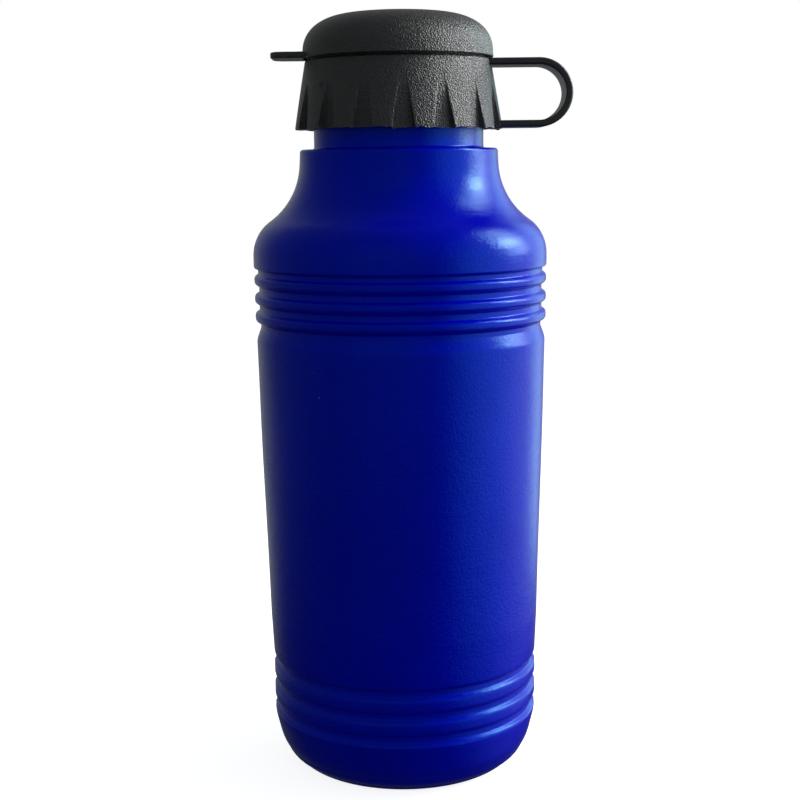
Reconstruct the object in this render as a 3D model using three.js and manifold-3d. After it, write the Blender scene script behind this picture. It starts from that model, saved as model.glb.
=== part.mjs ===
// A sports squeeze bottle: a blow-moulded bottle with grip rings, a fluted screw cap with a push-pull spout,
// and a domed dust cover that hangs on a strap. The cap, the strap and the cover are moulded in one, and the
// strap's bend is cut into links, so that it can unroll as the cover is lifted off and swung over.
// Millimetres, +Z up. The origin is on the bottle's axis, in the plane that it stands on. The strap is at +X,
// the thumb tab at -X, and the front is at -Y.
import * as THREE from "three";
import { mergeVertices } from "three/addons/utils/BufferGeometryUtils.js";
import Module from "manifold-3d";

// ---- Bottle ----
const shoulderRadius = 36.45; // the widest place, just above the upper grip rings
const shoulderHeight = 129.8; // height of that widest place
const baseRadius = 33.45; // the barrel narrows evenly down to the base
const baseCorner = 10; // rounding between barrel and base
const standWidth = 3.4; // flat ring that the bottle stands on
const recessDepth = 2.2; // push-up of the base inside that ring
const recessSlope = 1.8; // run of the sloping wall around the push-up
const wall = 1.6; // wall of the shoulder, neck and base
const barrelWall = 1.7; // wall at the crest of a grip ring
const grooveDepth = 0.95; // of the grip rings' grooves
const grooveFlat = 1.3; // width of a groove's flat bottom
const grooveWall = 0.8; // run of a groove's sloping side, along the axis
const upperGrooves = 4;
const upperPitch = 4.5;
const upperDrop = 3.9; // highest groove, below the widest place
const lowerGrooves = 3;
const lowerPitch = 5.65;
const lowerRise = 15.6; // lowest groove, above the standing plane
const convexRadius = 10; // shoulder's outward curve
const shoulderSlope = THREE.MathUtils.degToRad(55); // steepness where it meets the inward curve
const neckRadius = 20.8;
const neckHeight = 16.1; // from the collar to the open lip
const neckFillet = 0.6;
const lipEdge = 0.4;
const collarWidth = 3.6; // step from the neck out to the collar
const collarDepth = 2.5; // straight side of the collar
const collarEdge = 0.9; // rounding of the collar's top edge

// ---- Neck thread, a single right-hand start ----
const pitch = 4;
const threadTurns = 1.25;
const threadDrop = 7.4; // its lower end, below the lip
const threadDepth = 1.1;
const threadBase = 2;
const threadCrest = 1;
const threadRoot = 0.6; // how far a ridge is sunk into its wall
const capThreadTurns = 1;
const capThreadLag = THREE.MathUtils.degToRad(20); // the cap's ridge starts this far behind the neck's
const threadClearance = 0.4; // between a ridge's crest and the wall that it runs along

// ---- Screw cap ----
const skirtGap = 4.8; // from the collar up to the skirt
const skirtFoot = 3.2; // skirt's wall at its bottom edge
const skirtTaper = 0.175; // radius lost for each millimetre of height
const skirtLeadIn = 0.9;
const gasketWidth = 4.3;
const gasketThickness = 1;
const seatGap = 0.1; // between faces that rest on each other
const deckThickness = 1.8;
const rimRise = 2.3; // from the deck up to the ledge that the cover sits on
const seamChamfer = 0.6;
const ringWall = 1.4; // ring that the cover fits over
const ringHeight = 1.9;
const wellGap = 1.2; // between the spout's head and the sunk well
const wellDepth = 5;
const wellWall = 1.5;
const towerRadius = 6; // tube that the spout slides on
const towerWall = 1.4;
const towerHeight = 8.8; // above the well's floor
const webThickness = 1.4; // the tower's pierced top, which carries the valve pin
const pinRadius = 2;
const pinHeight = 2.7;
const pinChamfer = 0.4;
const webHoles = 3;
const webHoleAngle = THREE.MathUtils.degToRad(76);
const webRim = 0.4; // left around a web hole
const flutes = 16;
const fluteDepth = 1.6; // at the skirt's bottom edge, fading to nothing upwards
const fluteBottomWidth = 4.6;
const fluteTopWidth = 1.6;
const fluteHeight = 11;
const fluteTurn = THREE.MathUtils.degToRad(-87.4); // direction of the flute nearest the front

// ---- Spout ----
const spoutClearance = 0.25; // around the tower and the pin
const spoutWall = 1.4;
const spoutLip = 0.95; // head's step out from the sleeve
const spoutHeadHeight = 3.2;
const spoutTopThickness = 1.8;
const spoutRise = 0.5; // of the closed spout's top above the pin
const spoutFoot = 0.6; // sleeve's end above the well's floor
const spoutTravel = 4;
const spoutEdge = 0.9;

// ---- Dust cover ----
const coverGap = 0.3; // dark line between cover and cap
const coverOverhang = 0.7; // of the cover's rim past the cap's top edge
const coverWall = 1.4;
const coverHeadroom = 0.8; // above the spout when it is pulled out
const coverDraft = THREE.MathUtils.degToRad(5.6); // lean of its wall at the rim
const coverCrownStart = THREE.MathUtils.degToRad(86); // where its rounded side passes into the shallow crown
const ringClearance = 0.45; // between the cap's ring and the cover
const tabLength = 7.9;
const tabWidth = 13;
const tabThickness = 1.5;
const tabCorner = 4;

// ---- Strap ----
const strapWidth = 12;
const strapThickness = 1.7;
const strapLength = 8.5; // straight part, from the skirt's bottom edge out to the bend
const strapDrop = 0.1; // of the strap's upper face below the ledge
const strapLinks = 2;
const linkGap = 0.5; // between neighbouring links
const notchDepth = 0.5; // relief in the cap behind the strap's upper end
const notchClearance = 0.4;

// ---- Fineness of the facets ----
const bodyFacets = 32;
const spoutFacets = 24;
const arcSteps = 4;
const bendSteps = 3;

// ---- Worked out from the sizes above ----
const halfTurn = Math.PI / 2;
const collarRadius = neckRadius + collarWidth;
const convexR = shoulderRadius - convexRadius;
const meetR = convexR + convexRadius * Math.cos(shoulderSlope);
const meetZ = shoulderHeight + convexRadius * Math.sin(shoulderSlope);
const concaveRadius = (meetR - collarRadius) / (1 - Math.cos(shoulderSlope));
const concaveZ = meetZ + concaveRadius * Math.sin(shoulderSlope);
const collarTop = concaveZ + collarDepth;
const lipHeight = collarTop + neckHeight;
const upperRise = shoulderHeight - upperDrop - (upperGrooves - 1) * upperPitch; // lowest of the upper grooves
const boreRadius = neckRadius - wall;
const threadStart = lipHeight - threadDrop;
const capThreadCrest = neckRadius + threadClearance;
const skirtInner = capThreadCrest + threadDepth;
const skirtBottom = collarTop + skirtGap;
const skirtBottomRadius = skirtInner + skirtFoot;
const gasketOuter = skirtInner - threadClearance;
const gasketBottom = lipHeight + seatGap;
const deckBottom = gasketBottom + gasketThickness + seatGap;
const deckTop = deckBottom + deckThickness;
const seam = deckTop + rimRise;
const skirtRadius = (z) => skirtBottomRadius - (z - skirtBottom) * skirtTaper;
const wellFloor = deckTop - wellDepth;
const towerTop = wellFloor + towerHeight;
const pinTop = towerTop + pinHeight;
const sleeveInner = towerRadius + spoutClearance;
const sleeveOuter = sleeveInner + spoutWall;
const spoutHeadRadius = sleeveOuter + spoutLip;
const spoutTop = pinTop + spoutRise;
const wellRadius = spoutHeadRadius + wellGap;
const coverBottom = seam + coverGap;
const coverRadius = skirtRadius(seam) + coverOverhang;
const coverInner = coverRadius - coverWall;
const coverTop = spoutTop + spoutTravel + coverHeadroom + coverWall;
const ringOuter = coverInner - ringClearance;
const ringInner = ringOuter - ringWall;
const strapBottomZ = skirtBottom + strapThickness / 2;
const strapTopZ = seam - strapDrop - strapThickness / 2;
const loopReach = skirtBottomRadius + strapLength;
const loopCentreZ = (strapBottomZ + strapTopZ) / 2;
const loopRadius = (strapTopZ - strapBottomZ) / 2;
const bendAngle = Math.PI / (strapLinks + 1);
const gapAngle = linkGap / 2 / loopRadius; // half of the gap between two links, as an angle of the bend

// The cover's side is an arc from its rim to the crown. Its radius brings the crown's middle to coverTop.
const crownSlope = halfTurn - coverCrownStart;
const crownRise = Math.tan(crownSlope / 2); // of the crown, for each millimetre of its radius
const sideRise = Math.sin(coverCrownStart) - Math.sin(coverDraft);
const sideRun = Math.cos(coverDraft) - Math.cos(coverCrownStart);
const coverSide = (coverTop - coverBottom - coverRadius * crownRise) / (sideRise - sideRun * crownRise);
const coverArcR = coverRadius - coverSide * Math.cos(coverDraft);
const coverArcZ = coverBottom - coverSide * Math.sin(coverDraft);

const wasm = await Module();
wasm.setup();

const point = (r, z) => new THREE.Vector2(r, z);

// Points on a circle around (r, z), from angle a to angle b, both ends included.
function arc(r, z, radius, a, b, steps = arcSteps) {
  const points = [];
  for (let i = 0; i <= steps; i++) {
    const t = a + ((b - a) * i) / steps;
    points.push(point(r + radius * Math.cos(t), z + radius * Math.sin(t)));
  }
  return points;
}

// A three.js geometry as a manifold-3d solid, for cutting and joining.
function solid(geometry) {
  const bare = geometry.clone();
  bare.deleteAttribute("normal");
  bare.deleteAttribute("uv");
  const merged = mergeVertices(bare, 1e-4);
  return new wasm.Manifold(
    new wasm.Mesh({
      numProp: 3,
      vertProperties: new Float32Array(merged.attributes.position.array),
      triVerts: new Uint32Array(merged.index.array),
    }),
  );
}

// A manifold-3d solid as a three.js geometry.
function geometryOf(body) {
  const mesh = body.getMesh();
  const geometry = new THREE.BufferGeometry();
  geometry.setAttribute("position", new THREE.BufferAttribute(mesh.vertProperties, 3));
  geometry.setIndex(new THREE.BufferAttribute(mesh.triVerts, 1));
  geometry.computeVertexNormals();
  return geometry;
}

// A profile of (radius, height) points turned around the Z axis. It runs anticlockwise around the material.
function revolve(profile, facets = bodyFacets) {
  const geometry = new THREE.LatheGeometry(profile, facets);
  geometry.rotateX(halfTurn);
  return solid(geometry);
}

// A flat shape drawn in (x, z) and given a width along Y, centred on y = 0.
function plate(shape, width) {
  const geometry = new THREE.ExtrudeGeometry(shape, { depth: width, bevelEnabled: false });
  geometry.rotateX(halfTurn);
  geometry.translate(0, width / 2, 0);
  return solid(geometry);
}

// A flat shape drawn in (x, y) and raised from one height to another.
function slab(shape, from, to) {
  const geometry = new THREE.ExtrudeGeometry(shape, { depth: to - from, bevelEnabled: false });
  geometry.translate(0, 0, from);
  return solid(geometry);
}

// A thread ridge: its section is extruded straight, then wrapped around the axis as a helix. The wall that it
// stands on is at wallRadius, and it rises by depth, outwards if outward is 1 and inwards if it is -1.
function ridge(wallRadius, outward, turns, startAngle, startHeight) {
  const foot = wallRadius - outward * threadRoot;
  const crest = wallRadius + outward * threadDepth;
  const section = new THREE.Shape([
    point(foot, -threadBase / 2),
    point(crest, -threadCrest / 2),
    point(crest, threadCrest / 2),
    point(foot, threadBase / 2),
  ]);
  const sweep = turns * 2 * Math.PI;
  const steps = Math.round(turns * bodyFacets);
  const geometry = new THREE.ExtrudeGeometry(section, { depth: sweep, steps, bevelEnabled: false });
  const positions = geometry.attributes.position;
  for (let i = 0; i < positions.count; i++) {
    const r = positions.getX(i);
    const turned = sweep - positions.getZ(i);
    const angle = startAngle + turned;
    const rise = startHeight + positions.getY(i) + (pitch * turned) / (2 * Math.PI);
    positions.setXYZ(i, r * Math.cos(angle), r * Math.sin(angle), rise);
  }
  return solid(geometry);
}

// ---- Bottle body ----

// The barrel's radius at the crest of its rings, which falls evenly from shoulder to base.
function barrelRadius(z) {
  const share = (shoulderHeight - z) / (shoulderHeight - baseCorner);
  return shoulderRadius + (baseRadius - shoulderRadius) * share;
}

// One groove of the grip rings, from below upwards.
function groove(z) {
  const floor = barrelRadius(z) - grooveDepth;
  const half = grooveFlat / 2;
  const edge = half + grooveWall;
  return [
    point(barrelRadius(z - edge), z - edge),
    point(floor, z - half),
    point(floor, z + half),
    point(barrelRadius(z + edge), z + edge),
  ];
}

// A set of grooves, upwards from the lowest one.
function grooves(count, spacing, lowest) {
  const points = [];
  for (let i = 0; i < count; i++) points.push(...groove(lowest + i * spacing));
  return points;
}

// The shoulder from the widest place up to the collar, moved inwards by an offset.
function shoulder(offset) {
  const concaveR = collarRadius + concaveRadius;
  const lower = arc(convexR, shoulderHeight, convexRadius - offset, 0, shoulderSlope);
  const upper = arc(concaveR, concaveZ, concaveRadius + offset, Math.PI + shoulderSlope, Math.PI, 6);
  return [...lower, ...upper.slice(1)];
}

function bottleBody() {
  const cornerR = baseRadius - baseCorner;
  const standInner = cornerR - standWidth;
  const recessR = standInner - recessSlope;
  const outside = [
    point(0, recessDepth),
    point(recessR, recessDepth),
    point(standInner, 0),
    ...arc(cornerR, baseCorner, baseCorner, -halfTurn, 0),
    ...grooves(lowerGrooves, lowerPitch, lowerRise),
    ...grooves(upperGrooves, upperPitch, upperRise),
    ...shoulder(0),
    ...arc(collarRadius - collarEdge, collarTop - collarEdge, collarEdge, 0, halfTurn, 3),
    point(neckRadius + neckFillet, collarTop),
    point(neckRadius, collarTop + neckFillet),
    point(neckRadius, lipHeight - lipEdge),
    point(neckRadius - lipEdge, lipHeight),
  ];
  const innerCornerR = baseRadius - barrelWall;
  const innerCorner = baseCorner - barrelWall;
  const inside = [
    point(boreRadius, lipHeight),
    point(boreRadius, collarTop),
    point(collarRadius - wall, collarTop - wall),
    ...shoulder(wall).reverse(),
    point(barrelRadius(shoulderHeight - upperDrop) - barrelWall, shoulderHeight - upperDrop),
    ...arc(innerCornerR - innerCorner, baseCorner, innerCorner, 0, -halfTurn),
    point(standInner, recessDepth),
    point(recessR - wall / 2, recessDepth + wall),
    point(0, recessDepth + wall),
  ];
  const neckThread = ridge(neckRadius, 1, threadTurns, 0, threadStart);
  return revolve([...outside, ...inside]).add(neckThread);
}

// ---- Sealing gasket, between the neck's lip and the cap's deck ----
function sealingGasket() {
  const inner = gasketOuter - gasketWidth;
  const top = gasketBottom + gasketThickness;
  return revolve([
    point(inner, gasketBottom),
    point(gasketOuter, gasketBottom),
    point(gasketOuter, top),
    point(inner, top),
    point(inner, gasketBottom),
  ]);
}

// ---- Screw cap ----
// The strap's outer and inner face between two angles of the loop's bend.
const bendOuter = (from, to) => arc(loopReach, loopCentreZ, loopRadius + strapThickness / 2, from, to, bendSteps);
const bendInner = (from, to) => arc(loopReach, loopCentreZ, loopRadius - strapThickness / 2, from, to, bendSteps);

function strapRoot() {
  const start = (skirtInner + skirtBottomRadius) / 2;
  const end = -halfTurn + bendAngle / 2 - gapAngle;
  const outline = new THREE.Shape([
    point(start, strapBottomZ - strapThickness / 2),
    ...bendOuter(-halfTurn, end),
    ...bendInner(end, -halfTurn),
    point(start, strapBottomZ + strapThickness / 2),
  ]);
  return plate(outline, strapWidth);
}

function flute(angle) {
  const floor = skirtBottomRadius - fluteDepth;
  const reach = fluteDepth * 2;
  const below = 1;
  const spread = ((fluteBottomWidth - fluteTopWidth) / fluteHeight) * below;
  const outline = new THREE.Shape([
    point(-(fluteBottomWidth + spread) / 2, -below),
    point((fluteBottomWidth + spread) / 2, -below),
    point(fluteTopWidth / 2, fluteHeight),
    point(-fluteTopWidth / 2, fluteHeight),
  ]);
  const geometry = new THREE.ExtrudeGeometry(outline, { depth: reach, bevelEnabled: false });
  geometry.rotateX(halfTurn);
  geometry.translate(0, -floor, skirtBottom);
  geometry.rotateZ(angle + halfTurn);
  return solid(geometry);
}

// Openings in the tower's web, which let the drink past the pin.
function webOpening(angle) {
  const inner = pinRadius + webRim;
  const outer = towerRadius - towerWall - webRim;
  const a = angle - webHoleAngle / 2;
  const b = angle + webHoleAngle / 2;
  const outline = new THREE.Shape([...arc(0, 0, outer, a, b), ...arc(0, 0, inner, b, a)]);
  return slab(outline, towerTop - webThickness * 2, towerTop + webThickness);
}

function screwCap() {
  const towerBore = towerRadius - towerWall;
  const wellBottom = wellFloor - wellWall;
  const ledgeOuter = skirtRadius(seam) - seamChamfer;
  const profile = [
    point(0, towerTop - webThickness),
    point(towerBore, towerTop - webThickness),
    point(towerBore, wellBottom),
    point(wellRadius + wellWall, wellBottom),
    point(wellRadius + wellWall, deckBottom),
    point(skirtInner, deckBottom),
    point(skirtInner, skirtBottom + skirtLeadIn),
    point(skirtInner + skirtLeadIn, skirtBottom),
    point(skirtBottomRadius, skirtBottom),
    point(skirtRadius(seam - seamChamfer), seam - seamChamfer),
    point(ledgeOuter, seam),
    point(ringOuter, seam),
    point(ringOuter, seam + ringHeight),
    point(ringInner, seam + ringHeight),
    point(ringInner, deckTop),
    point(wellRadius, deckTop),
    point(wellRadius, wellFloor),
    point(towerRadius, wellFloor),
    point(towerRadius, towerTop),
    point(pinRadius, towerTop),
    point(pinRadius, pinTop - pinChamfer),
    point(pinRadius - pinChamfer, pinTop),
    point(0, pinTop),
  ];
  const threadHeight = threadStart - pitch / 2 + (pitch * capThreadLag) / (2 * Math.PI);
  let body = revolve(profile)
    .add(ridge(skirtInner, -1, capThreadTurns, capThreadLag, threadHeight))
    .add(strapRoot());
  const strapHalfAngle = Math.asin(strapWidth / 2 / skirtBottomRadius);
  for (let i = 0; i < flutes; i++) {
    const angle = fluteTurn + (i * 2 * Math.PI) / flutes;
    const fromStrap = Math.abs(Math.atan2(Math.sin(angle), Math.cos(angle)));
    if (fromStrap > strapHalfAngle) body = body.subtract(flute(angle));
  }
  for (let i = 0; i < webHoles; i++) body = body.subtract(webOpening((i * 2 * Math.PI) / webHoles));
  const notchInner = skirtRadius(seam) - notchDepth - notchClearance;
  const notch = new THREE.Shape([
    point(notchInner, strapTopZ - strapThickness / 2 - notchClearance),
    point(loopReach, strapTopZ - strapThickness / 2 - notchClearance),
    point(loopReach, seam + ringHeight),
    point(notchInner, seam + ringHeight),
  ]);
  return body.subtract(plate(notch, strapWidth + 2 * notchClearance));
}

// ---- Pull spout ----
function pullSpout() {
  const hole = pinRadius + spoutClearance;
  const bottom = wellFloor + spoutFoot;
  const headBottom = spoutTop - spoutHeadHeight;
  return revolve(
    [
      point(sleeveInner, bottom),
      point(sleeveOuter, bottom),
      point(sleeveOuter, headBottom - spoutLip),
      point(spoutHeadRadius, headBottom),
      ...arc(spoutHeadRadius - spoutEdge, spoutTop - spoutEdge, spoutEdge, 0, halfTurn, 3),
      point(hole, spoutTop),
      point(hole, spoutTop - spoutTopThickness),
      point(sleeveInner, spoutTop - spoutTopThickness),
      point(sleeveInner, bottom),
    ],
    spoutFacets,
  );
}

// ---- Dust cover, with its thumb tab and the strap's upper end ----

// The cover's upper side, from the rim up to the axis, moved inwards by an offset.
function coverProfile(offset) {
  const crownR = coverArcR + coverSide * Math.cos(coverCrownStart);
  const crownRadius = crownR / Math.sin(crownSlope);
  const side = arc(coverArcR, coverArcZ, coverSide - offset, coverDraft, coverCrownStart, 8);
  const crown = arc(0, coverTop - crownRadius, crownRadius - offset, coverCrownStart, halfTurn, 2);
  return [...side, ...crown.slice(1)];
}

function thumbTab() {
  const corner = coverRadius + tabLength - tabCorner;
  const half = tabWidth / 2;
  const root = coverInner - coverWall;
  const outline = new THREE.Shape([
    point(-root, -half),
    point(-root, half),
    ...arc(-corner, half - tabCorner, tabCorner, halfTurn, Math.PI),
    ...arc(-corner, tabCorner - half, tabCorner, Math.PI, 3 * halfTurn),
  ]);
  return slab(outline, coverBottom, coverBottom + tabThickness);
}

function strapTip() {
  const inner = skirtRadius(seam) - notchDepth;
  const outer = coverRadius + strapThickness / 2;
  const end = halfTurn - bendAngle / 2 + gapAngle;
  const joinZ = coverBottom + tabThickness / 2;
  const outline = new THREE.Shape([
    ...bendInner(halfTurn, end),
    ...bendOuter(end, halfTurn),
    point(outer, strapTopZ + strapThickness / 2),
    point(outer, joinZ),
    point(inner, joinZ),
    point(inner, strapTopZ - strapThickness / 2),
  ]);
  return plate(outline, strapWidth);
}

function dustCover() {
  const outside = revolve([point(0, coverBottom), ...coverProfile(0)]);
  const insideProfile = coverProfile(coverWall);
  const cavity = revolve([
    point(0, skirtBottom),
    point(insideProfile[0].x, skirtBottom),
    ...insideProfile,
  ]);
  return outside.add(thumbTab()).add(strapTip()).subtract(cavity);
}

// ---- Strap links, which bend one after another around the loop ----
function strapLink(i) {
  const from = -halfTurn + (i - 0.5) * bendAngle + gapAngle;
  const to = -halfTurn + (i + 0.5) * bendAngle - gapAngle;
  return plate(new THREE.Shape([...bendOuter(from, to), ...bendInner(to, from)]), strapWidth);
}

// ---- Materials and assembly ----
const bluePlastic = new THREE.MeshStandardMaterial({ color: 0x0a0fa0, roughness: 0.35, metalness: 0 });
const blackPlastic = new THREE.MeshStandardMaterial({ color: 0x1c1c1f, roughness: 0.55, metalness: 0 });
const softSeal = new THREE.MeshStandardMaterial({ color: 0xe6e4dc, roughness: 0.6, metalness: 0 });

const bottle = new THREE.Group();

function addPart(name, body, material) {
  const mesh = new THREE.Mesh(geometryOf(body), material);
  mesh.name = name;
  bottle.add(mesh);
}

addPart("bottle_body", bottleBody(), bluePlastic);
addPart("sealing_gasket", sealingGasket(), softSeal);
addPart("screw_cap", screwCap(), blackPlastic);
addPart("pull_spout", pullSpout(), blackPlastic);
addPart("dust_cover", dustCover(), blackPlastic);
for (let i = 1; i <= strapLinks; i++) addPart("tether_link_" + i, strapLink(i), blackPlastic);

export default bottle;
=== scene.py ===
"""A blue sports squeeze bottle with a black screw cap, a push-pull spout and a dust cover on a strap.

Sizes are in millimetres until a mesh is made, and +Z is up. The heights come from the CAD parts' boxes.
"""

import math

import bpy
from mathutils import Matrix, Vector, noise


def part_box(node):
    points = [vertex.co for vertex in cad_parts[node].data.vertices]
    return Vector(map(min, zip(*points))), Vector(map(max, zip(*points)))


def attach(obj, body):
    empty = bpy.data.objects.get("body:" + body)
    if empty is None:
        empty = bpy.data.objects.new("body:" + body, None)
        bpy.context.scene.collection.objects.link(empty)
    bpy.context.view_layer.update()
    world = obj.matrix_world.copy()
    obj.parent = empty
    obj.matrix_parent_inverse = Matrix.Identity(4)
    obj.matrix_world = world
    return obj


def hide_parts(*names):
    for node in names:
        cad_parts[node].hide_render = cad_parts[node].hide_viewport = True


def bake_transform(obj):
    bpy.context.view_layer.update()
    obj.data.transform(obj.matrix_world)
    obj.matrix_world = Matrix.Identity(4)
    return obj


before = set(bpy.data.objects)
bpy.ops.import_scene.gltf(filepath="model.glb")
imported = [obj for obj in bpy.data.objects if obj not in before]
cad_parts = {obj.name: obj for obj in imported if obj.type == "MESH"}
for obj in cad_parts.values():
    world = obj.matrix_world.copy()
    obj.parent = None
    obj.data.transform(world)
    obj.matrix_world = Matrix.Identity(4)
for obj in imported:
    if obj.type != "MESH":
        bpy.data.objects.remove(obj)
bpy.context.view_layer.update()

MM = 0.001


def millimetres(node):
    """A CAD part's lowest and highest corner, in millimetres."""
    low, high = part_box(node)
    return low / MM, high / MM


body_high = millimetres("bottle_body")[1]
cap_low, cap_high = millimetres("screw_cap")
cover_high = millimetres("dust_cover")[1]
gasket_low, gasket_high = millimetres("sealing_gasket")
spout_low, spout_high = millimetres("pull_spout")

# ---- From the frame. _R is a radius, and heights are from the standing plane ----
SHOULDER_R = body_high.x
LIP = body_high.z
SKIRT_BOTTOM = cap_low.z
PIN_TOP = cap_high.z
COVER_TOP = cover_high.z
SPOUT_TOP = spout_high.z

# ---- Bottle ----
NECK_R = 20.8
NECK_HEIGHT = 16.1
COLLAR_R = 24.4
COLLAR_TOP = LIP - NECK_HEIGHT
WALL = 1.5
BASE_R = 33.42
BASE_CORNER = 10.5
STAND_R = 22.6
RECESS_R = 17.8
RECESS_DEPTH = 2.2
UPPER_GROOVES = (112.4, 117.0, 121.5, 125.9)  # heights of the grooves' middles
LOWER_GROOVES = (15.6, 21.25, 26.9)
SHOULDER_Z = 129.8
SHOULDER_SLOPE = 55  # degrees, where the outward curve meets the inward one
CONVEX_R = 10.0
BULGE_R = SHOULDER_R - 0.13  # leaves room for the parting ridge
CONVEX_CENTRE = Vector((BULGE_R - CONVEX_R, SHOULDER_Z))
SLOPE_NORMAL = Vector((math.cos(math.radians(SHOULDER_SLOPE)), math.sin(math.radians(SHOULDER_SLOPE))))
MEET = CONVEX_CENTRE + CONVEX_R * SLOPE_NORMAL
CONCAVE_R = (MEET.x - COLLAR_R) / (1 - SLOPE_NORMAL.x)
CONCAVE_CENTRE = MEET + CONCAVE_R * SLOPE_NORMAL
BODY_SEGMENTS = 224
THREAD_PITCH = 4.0
THREAD_START = LIP - 7.4
THREAD_TURNS = 1.25
THREAD_DEPTH = 1.05
PARTING_HEIGHT = 0.09
PARTING_HALF = 0.9  # half the parting ridge's width, in degrees
WAVE_HEIGHT = 0.16  # unevenness of the blown wall, over patches of about WAVE_LENGTH
WAVE_LENGTH = 34
WAVE_TURNS = 2.2
WAVE_BOTTOM, WAVE_TOP, WAVE_FADE = 12, 108, 12

# ---- Cap ----
SKIRT_R = 25.45
SKIRT_TAPER = 0.172
SKIRT_INNER = 22.3
DECK_BOTTOM = gasket_high.z + 0.1
DECK_TOP = DECK_BOTTOM + 1.8
SEAM = DECK_TOP + 2.3
RING_R = 21.4
RING_WALL = 1.35
RING_HEIGHT = 1.85
WELL_R = 9.8
WELL_FLOOR = DECK_TOP - 5.0
WELL_WALL = 1.5
TOWER_R = 6.0
TOWER_WALL = 1.4
TOWER_TOP = WELL_FLOOR + 8.8
PIN_R = 2.0
FLUTES = 16
FLUTE_TURN = -87.4  # degrees, of the first flute
FLUTE_FLOOR = 23.75
FLUTE_FOOT = 5.0  # a flute's width at the skirt's edge, and at its upper end
FLUTE_HEAD = 1.7
FLUTE_HEIGHT = 11.0
FLUTE_EDGE = 0.16
STRAP_SKIP = 14.0  # degrees to each side of the strap that have no flute
FLASH = 0.45  # longest rag at the skirt's edge
CAP_THREAD_START = THREAD_START - 1.778
CAP_THREAD_LAG = 20  # degrees behind the neck's thread

# ---- Cover, tab and strap ----
COVER_R = 23.3
COVER_WALL = 1.4
COVER_BOTTOM = SEAM + 0.3
CROWN = 2.25  # exponent of the dome's ellipse, 2 for a true one
TAB_TIP = 30.8
TAB_HALF = 6.4
TAB_THICK = 1.5
STRAP_HALF = 6.0
STRAP_THICK = 1.7
STRAP_SINK = 0.5  # how far inside the skirt the lower arm starts
UPPER_ROOT = 22.55  # radius where the upper arm starts, just below the cover's rim
LOOP_X = 34.0  # middle of the strap's bend
LOOP_LOW = SKIRT_BOTTOM + STRAP_THICK / 2
LOOP_HIGH = SEAM - 0.1 - STRAP_THICK / 2
LOOP_Z = (LOOP_LOW + LOOP_HIGH) / 2
LOOP_R = (LOOP_HIGH - LOOP_LOW) / 2


# ---- Profiles ----
def rounded(corners, step=7.0):
    """A line through (x, y, fillet radius) corners. Step is the most degrees between a fillet's points."""
    line = []
    for i, (x, y, fillet) in enumerate(corners):
        if not fillet:
            line.append((x, y))
            continue
        here = Vector((x, y))
        back = Vector(corners[i - 1][:2]) - here
        ahead = Vector(corners[(i + 1) % len(corners)][:2]) - here
        room = 0.49 * min(back.length, ahead.length)
        back.normalize()
        ahead.normalize()
        turn = math.pi - back.angle(ahead)
        reach = min(fillet * math.tan(turn / 2), room)
        radius = reach / math.tan(turn / 2)
        centre = here + (back + ahead).normalized() * (radius / math.cos(turn / 2))
        first = here + back * reach - centre
        last = here + ahead * reach - centre
        start = math.atan2(first.y, first.x)
        sweep = math.atan2(last.y, last.x) - start
        sweep = (sweep + math.pi) % (2 * math.pi) - math.pi
        count = max(2, math.ceil(math.degrees(abs(sweep)) / step))
        for k in range(count + 1):
            angle = start + sweep * k / count
            line.append((centre.x + radius * math.cos(angle), centre.y + radius * math.sin(angle)))
    return [p for k, p in enumerate(line) if k == 0 or math.dist(p, line[k - 1]) > 1e-4]


def split(line, longest):
    """The same line with its long stretches cut up."""
    out = [line[0]]
    for a, b in zip(line, line[1:]):
        count = max(1, math.ceil(math.dist(a, b) / longest))
        for k in range(1, count + 1):
            out.append((a[0] + (b[0] - a[0]) * k / count, a[1] + (b[1] - a[1]) * k / count))
    return out


# ---- Mesh making ----
def piece(name, points, faces, smooth_angle=35):
    """A mesh object from points in millimetres."""
    mesh = bpy.data.meshes.new(name)
    mesh.from_pydata([tuple(c * MM for c in p) for p in points], [], faces)
    mesh.validate()
    mesh.update()
    obj = bpy.data.objects.new(name, mesh)
    bpy.context.scene.collection.objects.link(obj)
    smooth(obj, smooth_angle)
    return obj


def smooth(obj, angle):
    mesh = obj.data
    mesh.polygons.foreach_set("use_smooth", [True] * len(mesh.polygons))
    mesh.set_sharp_from_angle(angle=math.radians(angle))


def wrap(line, angles, place, closed=False):
    """Points and faces of a profile carried round the axis. place(i, r, z, angle) gives each point.

    A profile that starts and ends on the axis gets one point there.
    """
    points, rows = [], []
    for i, (r, z) in enumerate(line):
        if r < 1e-6:
            rows.append([len(points)])
            points.append((0.0, 0.0, z))
            continue
        rows.append(list(range(len(points), len(points) + len(angles))))
        points.extend(place(i, r, z, a) for a in angles)
    faces = []
    pairs = list(zip(rows, rows[1:]))
    if closed:
        pairs.append((rows[-1], rows[0]))
    count = len(angles)
    for low, high in pairs:
        for k in range(count):
            n = (k + 1) % count
            if len(low) == 1 and len(high) == 1:
                continue
            if len(low) == 1:
                faces.append((low[0], high[n], high[k]))
            elif len(high) == 1:
                faces.append((low[k], low[n], high[0]))
            else:
                faces.append((low[k], low[n], high[n], high[k]))
    return points, faces


def polar(i, r, z, angle):
    return (r * math.cos(angle), r * math.sin(angle), z)


def even(count):
    return [2 * math.pi * k / count for k in range(count)]


def turned(name, line, segments=160, closed=False, smooth_angle=35):
    return piece(name, *wrap(line, even(segments), polar, closed), smooth_angle)


def joined(name, parts, smooth_angle=35):
    """One object from several, as one moulding."""
    with bpy.context.temp_override(active_object=parts[0], selected_editable_objects=parts):
        bpy.ops.object.join()
    whole = parts[0]
    whole.name = name
    whole.data.name = name
    smooth(whole, smooth_angle)
    return whole


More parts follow.
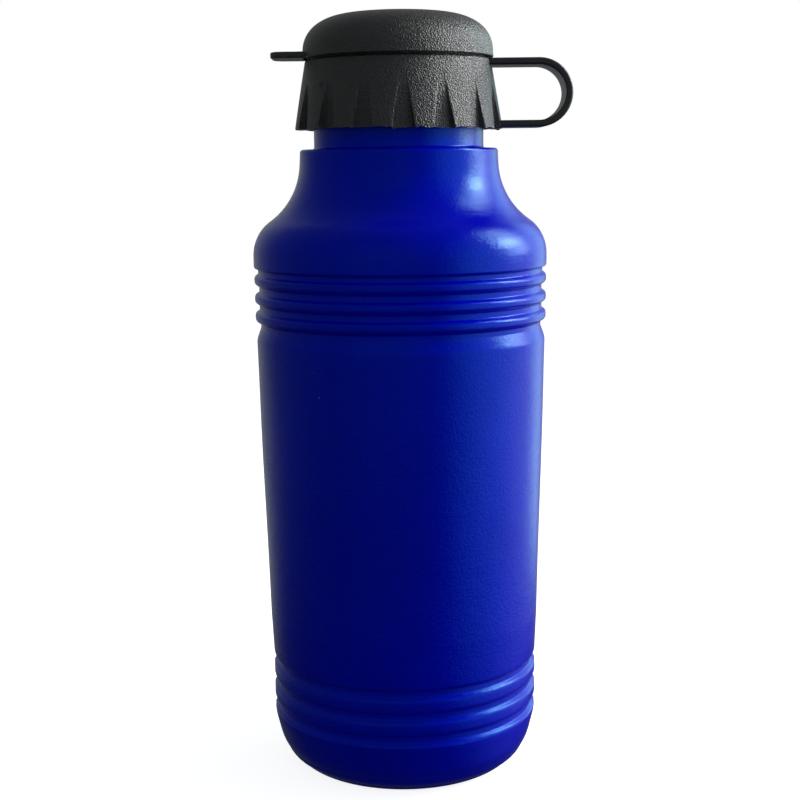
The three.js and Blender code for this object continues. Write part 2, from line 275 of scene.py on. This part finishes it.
def thread(name, wall, outward, turns, start_z, start_angle, depth, steps_a_turn=72):
    """A helical ridge on a wall, which runs out to nothing at both ends."""
    steps = round(turns * steps_a_turn)
    fade = steps_a_turn / 14
    section = [(-0.35, -1.05), (0.0, -0.92), (0.72, -0.62), (0.98, -0.4)]
    section += [(1.0, 0.4), (0.72, 0.62), (0.0, 0.92), (-0.35, 1.05)]
    points, faces = [], []
    for k in range(steps + 1):
        angle = start_angle + 2 * math.pi * k / steps_a_turn
        rise = start_z + THREAD_PITCH * k / steps_a_turn
        share = min(1.0, (k + 0.3) / fade, (steps - k + 0.3) / fade)
        for out, along in section:
            r = wall + outward * depth * (out * share if out > 0 else out)
            z = rise + along * (0.55 + 0.45 * share)
            points.append((r * math.cos(angle), r * math.sin(angle), z))
    count = len(section)
    for k in range(steps):
        for j in range(count):
            a, b = k * count + j, k * count + (j + 1) % count
            quad = (a, b, b + count, a + count)
            faces.append(quad if outward > 0 else quad[::-1])
    ends = [tuple(range(count)), tuple(range(steps * count, (steps + 1) * count))]
    faces.append(ends[0][::-1] if outward > 0 else ends[0])
    faces.append(ends[1] if outward > 0 else ends[1][::-1])
    return piece(name, points, faces)


# ---- Materials ----
RANGE = ("From Min", "From Max", "To Min", "To Max")


class Paint:
    """A material's node tree, with short ways to add nodes. Lengths in it are in metres."""

    def __init__(self, name):
        self.material = bpy.data.materials.new(name)
        self.material.use_nodes = True
        self.tree = self.material.node_tree
        self.shader = self.tree.nodes["Principled BSDF"]
        self.place = self.add("ShaderNodeTexCoord").outputs["Object"]

    def add(self, kind, **settings):
        node = self.tree.nodes.new(kind)
        for key, value in settings.items():
            setattr(node, key, value)
        return node

    def link(self, source, target):
        self.tree.links.new(source, target)

    def scaled(self, x, y, z):
        node = self.add("ShaderNodeMapping")
        node.inputs["Scale"].default_value = (x, y, z)
        self.link(self.place, node.inputs["Vector"])
        return node.outputs["Vector"]

    def noise(self, grain, detail=2.0, roughness=0.5, stretch=(1, 1, 1)):
        """Noise with a grain in millimetres, drawn out along an axis by a stretch above 1."""
        node = self.add("ShaderNodeTexNoise")
        node.inputs["Scale"].default_value = 1 / (grain * MM)
        node.inputs["Detail"].default_value = detail
        node.inputs["Roughness"].default_value = roughness
        self.link(self.scaled(*(1 / s for s in stretch)), node.inputs["Vector"])
        return node.outputs["Fac"]

    def cells(self, grain):
        """Distance to the nearest of many random points, a grain in millimetres apart."""
        node = self.add("ShaderNodeTexVoronoi")
        node.inputs["Scale"].default_value = 1 / (grain * MM)
        self.link(self.place, node.inputs["Vector"])
        return node.outputs["Distance"]

    def span(self, value, low, high, to_low, to_high):
        node = self.add("ShaderNodeMapRange")
        for key, number in zip(RANGE, (low, high, to_low, to_high)):
            node.inputs[key].default_value = number
        self.link(value, node.inputs["Value"])
        return node.outputs["Result"]

    def math(self, operation, a, b):
        node = self.add("ShaderNodeMath", operation=operation)
        for socket, value in zip(node.inputs, (a, b)):
            if isinstance(value, (int, float)):
                socket.default_value = value
            else:
                self.link(value, socket)
        return node.outputs["Value"]

    def mix(self, share, a, b):
        """A colour from a to b. Each is a colour or a socket."""
        node = self.add("ShaderNodeMix", data_type="RGBA")
        self.link(share, node.inputs["Factor"])
        for socket, value in ((node.inputs["A"], a), (node.inputs["B"], b)):
            if isinstance(value, tuple):
                socket.default_value = (*value, 1)
            else:
                self.link(value, socket)
        return node.outputs["Result"]

    def bump(self, height, distance, under=None):
        """A bump of a height, in millimetres, for a value that goes from 0 to 1."""
        node = self.add("ShaderNodeBump")
        node.inputs["Strength"].default_value = 1.0
        node.inputs["Distance"].default_value = distance * MM
        self.link(height, node.inputs["Height"])
        if under is not None:
            self.link(under, node.inputs["Normal"])
        return node.outputs["Normal"]

    def set(self, **values):
        for key, value in values.items():
            self.shader.inputs[key.replace("_", " ")].default_value = value

    def feed(self, **sockets):
        for key, socket in sockets.items():
            self.link(socket, self.shader.inputs[key.replace("_", " ")])


def blue_plastic():
    """Blown soft plastic: deep blue, semi-gloss, with fine drawn lines round it and small scuffs."""
    p = Paint("blue_plastic")
    clouds = p.noise(22, detail=3)
    deep = p.mix(p.span(clouds, 0.35, 0.65, 0, 1), (0.0, 0.0, 0.62), (0.0, 0.001, 0.68))
    specks = p.span(p.noise(0.9, detail=1, stretch=(1, 1, 1.6)), 0.795, 0.83, 0, 1)
    scuffs = p.math("MULTIPLY", specks, p.span(p.noise(14, detail=2), 0.56, 0.66, 0, 0.55))
    p.feed(Base_Color=p.mix(scuffs, deep, (0.20, 0.26, 0.62)))
    lines = p.noise(0.55, detail=3, roughness=0.6, stretch=(60, 60, 1))
    grain = p.noise(0.6, detail=3, roughness=0.65)
    waves = p.noise(9, detail=2)
    rough = p.span(grain, 0.3, 0.7, 0.11, 0.20)
    p.feed(Roughness=p.math("ADD", rough, p.span(lines, 0.45, 0.7, 0, 0.07)))
    normal = p.bump(waves, 0.10)
    normal = p.bump(grain, 0.07, under=normal)
    normal = p.bump(lines, 0.018, under=normal)
    normal = p.bump(scuffs, 0.03, under=normal)
    p.feed(Normal=normal)
    p.set(IOR=1.5, Specular_IOR_Level=0.55, Specular_Tint=(0.08, 0.55, 1, 1))
    return p.material


def black_plastic(name, grain_height, rough_low, rough_high, speckle):
    """Moulded black plastic with a fine eroded grain."""
    p = Paint(name)
    cells = p.cells(0.40)
    fine = p.noise(0.2, detail=1, roughness=0.6)
    broad = p.noise(12, detail=3)
    shade = p.mix(p.span(broad, 0.35, 0.65, 0, 1), (0.007, 0.007, 0.0085), (0.012, 0.012, 0.014))
    worn = p.span(fine, 0.42, 0.66, 0, speckle)
    p.feed(Base_Color=p.mix(worn, shade, (0.06, 0.06, 0.064)))
    p.feed(Roughness=p.span(fine, 0.3, 0.7, rough_low, rough_high))
    normal = p.bump(cells, grain_height)
    normal = p.bump(fine, grain_height * 0.6, under=normal)
    p.feed(Normal=normal)
    p.set(IOR=1.7, Specular_IOR_Level=0.8)
    return p.material


def pale_rubber():
    """Soft off-white gasket."""
    p = Paint("pale_rubber")
    mottle = p.noise(3, detail=3)
    p.feed(Base_Color=p.mix(mottle, (0.60, 0.585, 0.54), (0.72, 0.71, 0.67)))
    p.feed(Roughness=p.span(mottle, 0.3, 0.7, 0.5, 0.68))
    p.feed(Normal=p.bump(p.noise(0.3, detail=2), 0.02))
    return p.material


def floor_paint():
    p = Paint("floor_paint")
    p.feed(Base_Color=p.mix(p.noise(300, detail=2), (0.86, 0.86, 0.86), (0.89, 0.89, 0.89)))
    p.set(Roughness=0.9, Specular_IOR_Level=0.1, Emission_Color=(1, 1, 1, 1), Emission_Strength=0.86)
    return p.material


BLUE = blue_plastic()
GRAINED = black_plastic("grained_black_plastic", 0.17, 0.30, 0.46, 0.45)
SMOOTH_BLACK = black_plastic("smooth_black_plastic", 0.012, 0.32, 0.44, 0.04)
RUBBER = pale_rubber()


def dress(obj, material, body, slot, *nodes):
    """Gives a finished piece its material and CAD body, and hides the CAD nodes that it stands for. The
    slot is not used.
    """
    obj.data.materials.clear()
    obj.data.materials.append(material)
    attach(obj, body)
    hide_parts(*nodes)
    return obj


# ---- Bottle ----
def grooves(heights, crest_r, depth, flat=0.7, wall=0.8, crest=0.95, valley=0.4):
    """Corners of a stack of grooves, upwards, each with a flat floor and sloping walls.

    Flat is half the floor's width, wall the run of a slope, and crest and valley are fillets.
    """
    corners = []
    for z in heights:
        corners += [
            (crest_r, z - flat - wall, crest),
            (crest_r - depth, z - flat, valley),
            (crest_r - depth, z + flat, valley),
            (crest_r, z + flat + wall, crest),
        ]
    return corners


def arc(centre_r, centre_z, radius, start, end, step=4.0):
    """Corners without fillets, along an arc whose angles are in degrees from the outward direction."""
    count = max(1, round(abs(end - start) / step))
    angles = [math.radians(start + (end - start) * k / count) for k in range(count + 1)]
    return [(centre_r + radius * math.cos(a), centre_z + radius * math.sin(a), 0) for a in angles]


def bottle_profile():
    """The bottle's outside from the base's middle up to the lip, then the inside down to the floor."""
    lowest, *middle, highest = UPPER_GROOVES
    corners = [
        (0, RECESS_DEPTH, 0),
        (RECESS_R, RECESS_DEPTH, 2.0),
        (STAND_R - 2.2, 0, 1.0),
        (STAND_R, 0, 0),
        (BASE_R - 6.6, 0.15, 7.0),
        (BASE_R - 1.8, 5.2, 12.0),
        (BASE_R, LOWER_GROOVES[0] - 3.1, 6.0),
        *grooves(LOWER_GROOVES, BASE_R + 0.2, 0.9, crest=1.2),
        (34.15, 39.0, 16.0),
        (35.1, 74.0, 0),
        (35.92, lowest - 3.4, 3.0),
        (34.85, lowest - 0.5, 0.5),
        (34.85, lowest + 0.7, 0.4),
        (36.1, lowest + 1.5, 0.9),
        *grooves(middle, 36.2, 1.1),
        (36.25, highest - 1.4, 0.9),
        (35.3, highest - 0.6, 0.4),
        (35.3, highest + 0.5, 0.25),
        (36.3, highest + 1.0, 0.5),
        (BULGE_R, highest + 3.0, 5.0),
        *arc(*CONVEX_CENTRE, CONVEX_R, 2, SHOULDER_SLOPE),
        *arc(*CONCAVE_CENTRE, CONCAVE_R, 180 + SHOULDER_SLOPE, 182),
        (COLLAR_R - 0.1, COLLAR_TOP, 0.8),
        (NECK_R, COLLAR_TOP, 0.6),
        (NECK_R, LIP, 0.35),
        (NECK_R - WALL, LIP, 0.35),
        (NECK_R - WALL, COLLAR_TOP - 0.5, 1.5),
        (COLLAR_R - WALL - 0.3, COLLAR_TOP - 2.5, 1.5),
        (COLLAR_R - WALL, 143.2, 16.0),
        (SHOULDER_R - WALL - 0.3, 135.2, 10.0),
        (SHOULDER_R - WALL - 1.2, 124.0, 3.0),
        (34.0, 108.0, 0),
        (BASE_R - WALL - 0.9, 26.0, 0),
        (BASE_R - WALL - 0.9, WALL, BASE_CORNER),
        (STAND_R - 1, WALL, 2.0),
        (RECESS_R - 1, RECESS_DEPTH + WALL, 2.0),
        (0, RECESS_DEPTH + WALL, 0),
    ]
    return split(rounded(corners), 3.5)


def bottle_angles():
    """Even angles, with close ones at the two parting lines."""
    angles = {round(a, 6) for a in even(BODY_SEGMENTS)}
    for side in (0.0, math.pi):
        for k in (-1, -0.6, -0.3, 0.3, 0.6, 1):
            angles.add(round((side + math.radians(PARTING_HALF) * k) % (2 * math.pi), 6))
    return sorted(angles)


def make_bottle():
    line = bottle_profile()
    lip = max(range(len(line)), key=lambda i: line[i][1])

    def place(i, r, z, angle):
        outside = i < lip and r > STAND_R
        if outside:
            # Degrees from a parting line, near enough where they are few.
            off = math.degrees(abs(math.sin(angle)))
            if z < COLLAR_TOP - 1 and off < PARTING_HALF:
                r += PARTING_HEIGHT * (1 - (off / PARTING_HALF) ** 2)
            x, y = WAVE_TURNS * math.cos(angle), WAVE_TURNS * math.sin(angle)
            wave = noise.noise(Vector((x, y, z / WAVE_LENGTH)))
            if z < WAVE_TOP:
                fade = min(1.0, (WAVE_TOP - z) / WAVE_FADE, max(0.0, z - WAVE_BOTTOM) / WAVE_FADE)
                r += WAVE_HEIGHT * wave * fade
        return polar(i, r, z, angle)

    shell = piece("bottle_shell_base", *wrap(line, bottle_angles(), place), 50)
    ridge = thread("neck_thread", NECK_R, 1, THREAD_TURNS, THREAD_START, 0.0, THREAD_DEPTH)
    return joined("bottle_shell", [shell, ridge], 50)


dress(make_bottle(), BLUE, "bottle", "bottle_plastic", "bottle_body")


# ---- Screw cap ----
def skirt_r(z):
    return SKIRT_R - (z - SKIRT_BOTTOM) * SKIRT_TAPER


def flute_half(z):
    """Half a flute's width, as an angle."""
    share = min(1.0, max(0.0, (z - SKIRT_BOTTOM) / FLUTE_HEIGHT))
    return (FLUTE_FOOT + (FLUTE_HEAD - FLUTE_FOOT) * share) / 2 / SKIRT_R


def cap_profile():
    """The cap's section, from under the pin out to the skirt's edge, then up the outside to the pin's top.

    The outside wall is cut up finely, because the flutes change along it.
    """
    inside = [
        (0, TOWER_TOP - 1.4, 0),
        (TOWER_R - TOWER_WALL, TOWER_TOP - 1.4, 0.3),
        (TOWER_R - TOWER_WALL, WELL_FLOOR - WELL_WALL, 0.3),
        (WELL_R + WELL_WALL, WELL_FLOOR - WELL_WALL, 0.6),
        (WELL_R + WELL_WALL, DECK_BOTTOM, 0.4),
        (SKIRT_INNER, DECK_BOTTOM, 0.4),
        (SKIRT_INNER, SKIRT_BOTTOM + 0.9, 0.3),
        (SKIRT_INNER + 0.9, SKIRT_BOTTOM + 0.05, 0.3),
        (SKIRT_R - 0.35, SKIRT_BOTTOM + 0.05, 0),
    ]
    outside = [
        (SKIRT_R, SKIRT_BOTTOM + 0.12, 0),
        (skirt_r(SEAM - 0.1), SEAM - 0.1, 1.5),
        (RING_R, SEAM - 0.1, 0.2),
    ]
    top = [
        (RING_R, SEAM + RING_HEIGHT, 0.4),
        (RING_R - RING_WALL, SEAM + RING_HEIGHT, 0.4),
        (RING_R - RING_WALL, DECK_TOP, 0.6),
        (WELL_R, DECK_TOP, 0.6),
        (WELL_R, WELL_FLOOR, 0.5),
        (TOWER_R, WELL_FLOOR, 0.3),
        (TOWER_R, TOWER_TOP, 0.3),
        (PIN_R, TOWER_TOP, 0.3),
        (PIN_R, PIN_TOP, 0.5),
        (0, PIN_TOP, 0),
    ]
    line = rounded(inside + outside + top)
    fine = []
    for a, b in zip(line, line[1:]):
        on_wall = min(a[0], b[0]) > SKIRT_INNER + 1.2
        fine += split([a, b], 0.9 if on_wall else 3.0)[:-1]
    return fine + [line[-1]]


def make_cap():
    line = cap_profile()
    on_skirt = [r > skirt_r(z) - 1.3 and z < SEAM - 0.05 and r > SKIRT_INNER + 1.2 for r, z in line]
    # Each column of points: the flute's centre, a part of the sector, and the place across that part.
    columns = []
    pitch = 2 * math.pi / FLUTES
    floor_steps = (-0.96, -0.88, -0.44, 0.0, 0.44, 0.88, 0.96)
    land_steps = 10
    for k in range(FLUTES):
        centre = math.radians(FLUTE_TURN) + pitch * k
        columns += [(centre, "floor", s) for s in floor_steps]
        columns += [(centre, "wall", s) for s in (0.0, 1.0, 2.0)]
        columns += [(centre, "land", s / land_steps) for s in range(land_steps)]
        columns += [(centre + pitch, "wall", s) for s in (-2.0, -1.0, -0.001)]
    edge = FLUTE_EDGE / SKIRT_R

    def where(column, z):
        """A column's angle at a height, and how much of the flute's depth it has there."""
        centre, kind, s = column
        half = flute_half(z)
        if kind == "floor":
            return centre + s * half, 1.0
        if kind == "wall":
            side = -1 if s < 0 else 1
            out = round(abs(s))
            return centre + side * (half + out * edge), (0.93, 0.10, 0.0)[out]
        start, end = centre + half + 2.9 * edge, centre + pitch - half - 2.9 * edge
        return start + (end - start) * s, 0.0

    def place(i, r, z, column):
        angle, depth = where(column, z)
        centre = column[0]
        off_strap = abs(math.degrees(math.atan2(math.sin(centre), math.cos(centre))))
        if on_skirt[i]:
            if depth and off_strap > STRAP_SKIP:
                floor = FLUTE_FLOOR / math.cos(angle - centre)
                r -= depth * max(0.0, r - floor)
            x, y = r * math.cos(angle), r * math.sin(angle)
            if z < SKIRT_BOTTOM + 0.3:
                rag = 0.5 + noise.noise(Vector((x * 0.55, y * 0.55, 3.1)))
                z -= FLASH * max(0.0, rag) * (1.0 if x > -2 else 0.35)
        return polar(i, r, z, angle)

    skirt = piece("screw_cap_base", *wrap(line, columns, place), 38)
    lag = math.radians(CAP_THREAD_LAG)
    ridge = thread("cap_thread", SKIRT_INNER, -1, 1.0, CAP_THREAD_START, lag, 1.0)
    return joined("screw_cap_moulding", [skirt, ridge, make_gate_mark()], 38)


def make_gate_mark(azimuth=-140, z=170.4, wide=0.42, tall=0.66, bead=0.13):
    """A small oval ring in relief on the skirt."""
    a = math.radians(azimuth)
    across = Vector((-math.sin(a), math.cos(a), 0))
    out = Vector((math.cos(a), math.sin(a), 0))
    points, faces = [], []
    count, sides = 28, 8
    for k in range(count):
        t = 2 * math.pi * k / count
        for j in range(sides):
            s = 2 * math.pi * j / sides
            ring = 1 + bead * math.cos(s) / wide
            rise = z + tall * ring * math.sin(t)
            depth = skirt_r(rise) - 0.02 + bead * math.sin(s)
            point = out * depth + across * (wide * ring * math.cos(t))
            points.append((point.x, point.y, rise))
            n, m = (k + 1) % count, (j + 1) % sides
            faces.append((k * sides + j, n * sides + j, n * sides + m, k * sides + m))
    return piece("gate_mark", points, faces, 60)


dress(make_cap(), GRAINED, "cap", "cap_plastic", "screw_cap")


# ---- Gasket and spout ----
gasket_line = rounded(
    [
        (17.6, gasket_low.z, 0.2),
        (21.9, gasket_low.z, 0.2),
        (21.9, gasket_high.z, 0.2),
        (17.6, gasket_high.z, 0.2),
    ],
    30,
)
gasket = turned("gasket_ring", gasket_line, closed=True)
dress(gasket, RUBBER, "gasket", "gasket_rubber", "sealing_gasket")


def make_spout():
    inner, outer, head, hole = TOWER_R + 0.25, TOWER_R + 1.65, 8.6, PIN_R + 0.25
    return turned(
        "spout_moulding",
        rounded(
            [
                (inner, spout_low.z, 0.2),
                (outer, spout_low.z, 0.4),
                (outer, SPOUT_TOP - 4.6, 0.8),
                (head, SPOUT_TOP - 3.3, 0.7),
                (head - 0.25, SPOUT_TOP - 0.9, 1.1),
                (head - 1.6, SPOUT_TOP, 1.4),
                (hole + 0.5, SPOUT_TOP, 0.3),
                (hole, SPOUT_TOP - 0.6, 0.2),
                (hole, SPOUT_TOP - 1.8, 0.2),
                (inner, SPOUT_TOP - 1.8, 0.4),
            ],
            10,
        ),
        128,
        closed=True,
    )


dress(make_spout(), SMOOTH_BLACK, "spout", "cap_plastic", "pull_spout")


# ---- Dust cover ----
def cover_line(inset, steps=26):
    """The dome's wall from its rim to the axis, moved inwards by an inset."""
    flat, start = 10.0, COVER_BOTTOM + 1.4
    wide, high = COVER_R - 0.12 - flat - inset, COVER_TOP - start - inset
    line = [(COVER_R - inset, COVER_BOTTOM + (0 if inset else 0.2))]
    for k in range(steps + 1):
        angle = math.pi / 2 * k / steps
        out, up = abs(math.cos(angle)) ** (2 / CROWN), math.sin(angle) ** (2 / CROWN)
        line.append((flat + wide * out, start + high * up))
    return line + [(0, COVER_TOP - inset)]


def make_cover():
    line = cover_line(COVER_WALL)[::-1] + [(COVER_R - 0.2, COVER_BOTTOM)] + cover_line(0)
    dome = turned("dome", split(line, 2.0), 176, smooth_angle=40)
    outline = rounded(
        [
            (-(COVER_R - 1.6), -TAB_HALF - 0.6, 0),
            (-COVER_R - 1.2, -TAB_HALF, 2.0),
            (-TAB_TIP, -TAB_HALF, 4.4),
            (-TAB_TIP, TAB_HALF, 4.4),
            (-COVER_R - 1.2, TAB_HALF, 2.0),
            (-(COVER_R - 1.6), TAB_HALF + 0.6, 0),
        ],
        9,
    )
    tab = plate("tab", outline, COVER_BOTTOM, COVER_BOTTOM + TAB_THICK, 0.35)
    return joined("dust_cover_moulding", [dome, tab], 40)


def plate(name, outline, low, high, edge):
    """A flat outline with a thickness and rounded edges."""
    count = len(outline)
    points = [(x, y, low) for x, y in outline] + [(x, y, high) for x, y in outline]
    faces = [tuple(range(count)), tuple(range(2 * count - 1, count - 1, -1))]
    faces += [(k, k + count, (k + 1) % count + count, (k + 1) % count) for k in range(count)]
    obj = piece(name, points, faces)
    bevel(obj, edge, 40)
    return obj


def bevel(obj, width, angle, segments=3):
    mod = obj.modifiers.new("edge", "BEVEL")
    mod.width = width * MM
    mod.segments = segments
    mod.limit_method = "ANGLE"
    mod.angle_limit = math.radians(angle)
    settle(obj)


def settle(obj):
    """Applies an object's modifiers."""
    evaluated = obj.evaluated_get(bpy.context.evaluated_depsgraph_get())
    mesh = bpy.data.meshes.new_from_object(evaluated)
    obj.modifiers.clear()
    obj.data = mesh


dress(make_cover(), GRAINED, "cover", "cap_plastic", "dust_cover")


# ---- Strap ----
def loop_point(angle, out):
    """A point of the strap's bend, at an angle in degrees and some way out from its middle line."""
    a = math.radians(angle)
    return (LOOP_X + (LOOP_R + out) * math.cos(a), LOOP_Z + (LOOP_R + out) * math.sin(a))


def strap_section():
    """(y, out) corners of the strap's rounded cross-section."""
    half, thick = STRAP_HALF, STRAP_THICK / 2
    corners = [(-half, -thick), (half, -thick), (half, thick), (-half, thick)]
    return rounded([(y, out, 0.5) for y, out in corners], 22)


def strap_piece(name, stations):
    """A stretch of strap through stations, each a function of out and y that gives (x, z)."""
    section = strap_section()
    points, faces = [], []
    for station in stations:
        for y, out in section:
            x, z = station(out, y)
            points.append((x, y, z))
    count = len(section)
    for k in range(len(stations) - 1):
        for j in range(count):
            a, b = k * count + j, k * count + (j + 1) % count
            faces.append((a, b, b + count, a + count))
    last = (len(stations) - 1) * count
    faces.append(tuple(range(count))[::-1])
    faces.append(tuple(range(last, last + count)))
    return piece(name, points, faces, 60)


def bend_stations(start, end, step=3.0):
    count = round((end - start) / step)
    angles = [start + (end - start) * k / count for k in range(count + 1)]
    return [lambda out, y, a=a: loop_point(a, out) for a in angles]


def arm_stations(root, z, side, count=5):
    """Stations of a straight arm, from a root that follows the round wall out to the bend."""

    def station(share):
        def at(out, y):
            start = math.sqrt(root * root - y * y)
            return (start + (LOOP_X - start) * share, z + side * out)

        return at

    return [station(k / count) for k in range(count)]


def blended(obj, a, b, start, end, *nodes):
    """A strap piece that gets its material and hides the CAD nodes that it stands for. The two bodies and
    the two points of the loop are not used.
    """
    obj.data.materials.clear()
    obj.data.materials.append(SMOOTH_BLACK)
    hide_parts(*nodes)
    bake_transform(obj)
    return obj


def middle_point(angle):
    x, z = loop_point(angle, 0)
    return Vector((x, 0, z))


FIRST, LOW, HIGH, LAST = [middle_point(angle) for angle in (-90, -30, 30, 90)]
lower = arm_stations(skirt_r(LOOP_LOW) - STRAP_SINK, LOOP_LOW, -1) + bend_stations(-90, -30)
middle = bend_stations(-30, 30)
upper = bend_stations(30, 90) + arm_stations(UPPER_ROOT, LOOP_HIGH, 1)[::-1]
blended(strap_piece("strap_lower", lower), "cap", "strap_1", FIRST, LOW, "tether_link_1")
blended(strap_piece("strap_middle", middle), "strap_1", "strap_2", LOW, HIGH, "tether_link_1")
blended(strap_piece("strap_upper", upper), "strap_2", "cover", HIGH, LAST, "tether_link_2")


# ---- Stage, in metres and degrees ----
CAMERA_PLACE = (-0.0004, -0.367, 0.1515)
CAMERA_PITCH = 9.08
CAMERA_ROLL = -0.65
CAMERA_LENS = 66.15  # millimetres, on a film 36 mm wide
FLOOR_HALF = 3.0
ROOM_TINT = (0.94, 0.99, 1, 1)
# Each is where along an axis a glow starts and ends, and its strength there.
RIGHT_GLOW = (0.5, 1.0, 0.12, 1.15)
BACK_GLOW = (0.45, 1.0, 0.0, 0.20)
TABLE_SHADE = (-0.38, -0.24, 0.25, 1.0)


def make_camera():
    data = bpy.data.cameras.new("camera")
    data.lens = CAMERA_LENS
    data.sensor_width = 36
    data.clip_start = 0.01
    camera = bpy.data.objects.new("camera", data)
    bpy.context.scene.collection.objects.link(camera)
    look = Matrix.Rotation(math.radians(90 - CAMERA_PITCH), 4, "X")
    roll = Matrix.Rotation(math.radians(CAMERA_ROLL), 4, "Z")
    camera.matrix_world = Matrix.Translation(CAMERA_PLACE) @ look @ roll
    bpy.context.scene.camera = camera


def make_floor():
    side = FLOOR_HALF
    mesh = bpy.data.meshes.new("floor")
    corners = [(-side, -side, 0), (side, -side, 0), (side, side, 0), (-side, side, 0)]
    mesh.from_pydata(corners, [], [(0, 1, 2, 3)])
    mesh.update()
    mesh.materials.append(floor_paint())
    floor = bpy.data.objects.new("floor", mesh)
    bpy.context.scene.collection.objects.link(floor)
    floor.visible_diffuse = False
    floor.visible_glossy = False


def soft_light(name, position, size, power, colour=(1, 1, 1), target=(0, 0, 0.1)):
    """An area light that shines at a target. Cameras don't see it."""
    data = bpy.data.lights.new(name, "AREA")
    data.shape = "RECTANGLE"
    data.size, data.size_y = size
    data.energy = power
    data.color = colour
    light = bpy.data.objects.new(name, data)
    bpy.context.scene.collection.objects.link(light)
    aim = (Vector(target) - Vector(position)).to_track_quat("-Z", "Y")
    light.matrix_world = Matrix.Translation(position) @ aim.to_matrix().to_4x4()
    light.visible_camera = False
    return light


def make_world():
    """A dim room, bright on the right and a little at the back. The camera itself sees plain white."""
    world = bpy.data.worlds.new("studio")
    world.use_nodes = True
    tree = world.node_tree
    direction = tree.nodes.new("ShaderNodeSeparateXYZ")
    place = tree.nodes.new("ShaderNodeTexCoord")
    tree.links.new(place.outputs["Generated"], direction.inputs["Vector"])

    def glow(axis, limits):
        """A smooth rise along an axis."""
        node = tree.nodes.new("ShaderNodeMapRange")
        node.interpolation_type = "SMOOTHSTEP"
        for key, value in zip(RANGE, limits):
            node.inputs[key].default_value = value
        tree.links.new(direction.outputs[axis], node.inputs["Value"])
        return node.outputs["Result"]

    def combined(operation, a, b):
        node = tree.nodes.new("ShaderNodeMath")
        node.operation = operation
        tree.links.new(a, node.inputs[0])
        tree.links.new(b, node.inputs[1])
        return node.outputs["Value"]

    sides = combined("ADD", glow("X", RIGHT_GLOW), glow("Y", BACK_GLOW))
    strength = combined("MULTIPLY", sides, glow("Z", TABLE_SHADE))
    room = tree.nodes["Background"]
    room.inputs["Color"].default_value = ROOM_TINT
    tree.links.new(strength, room.inputs["Strength"])
    white = tree.nodes.new("ShaderNodeBackground")
    white.inputs["Color"].default_value = (1, 1, 1, 1)
    path = tree.nodes.new("ShaderNodeLightPath")
    choose = tree.nodes.new("ShaderNodeMixShader")
    tree.links.new(path.outputs["Is Camera Ray"], choose.inputs[0])
    tree.links.new(room.outputs["Background"], choose.inputs[1])
    tree.links.new(white.outputs["Background"], choose.inputs[2])
    tree.links.new(choose.outputs["Shader"], tree.nodes["World Output"].inputs["Surface"])
    bpy.context.scene.world = world


make_camera()
make_floor()
make_world()
soft_light("window", position=(0.72, 0.17, 0.52), size=(0.34, 0.74), power=4.2, target=(0, 0, 0.35))
soft_light("lamp", position=(0.68, 0.08, 0.44), size=(0.14, 0.12), power=1.4, target=(0, 0, 0.13))
soft_light("right_wall", position=(0.55, 0.62, 0.20), size=(0.4, 0.8), power=1.1, colour=(0.55, 0.92, 1.0))
fill = soft_light("fill", position=(-0.15, -0.80, 0.35), size=(0.9, 0.9), power=0.8)
fill.visible_glossy = False
bpy.context.scene.view_settings.view_transform = "Standard"
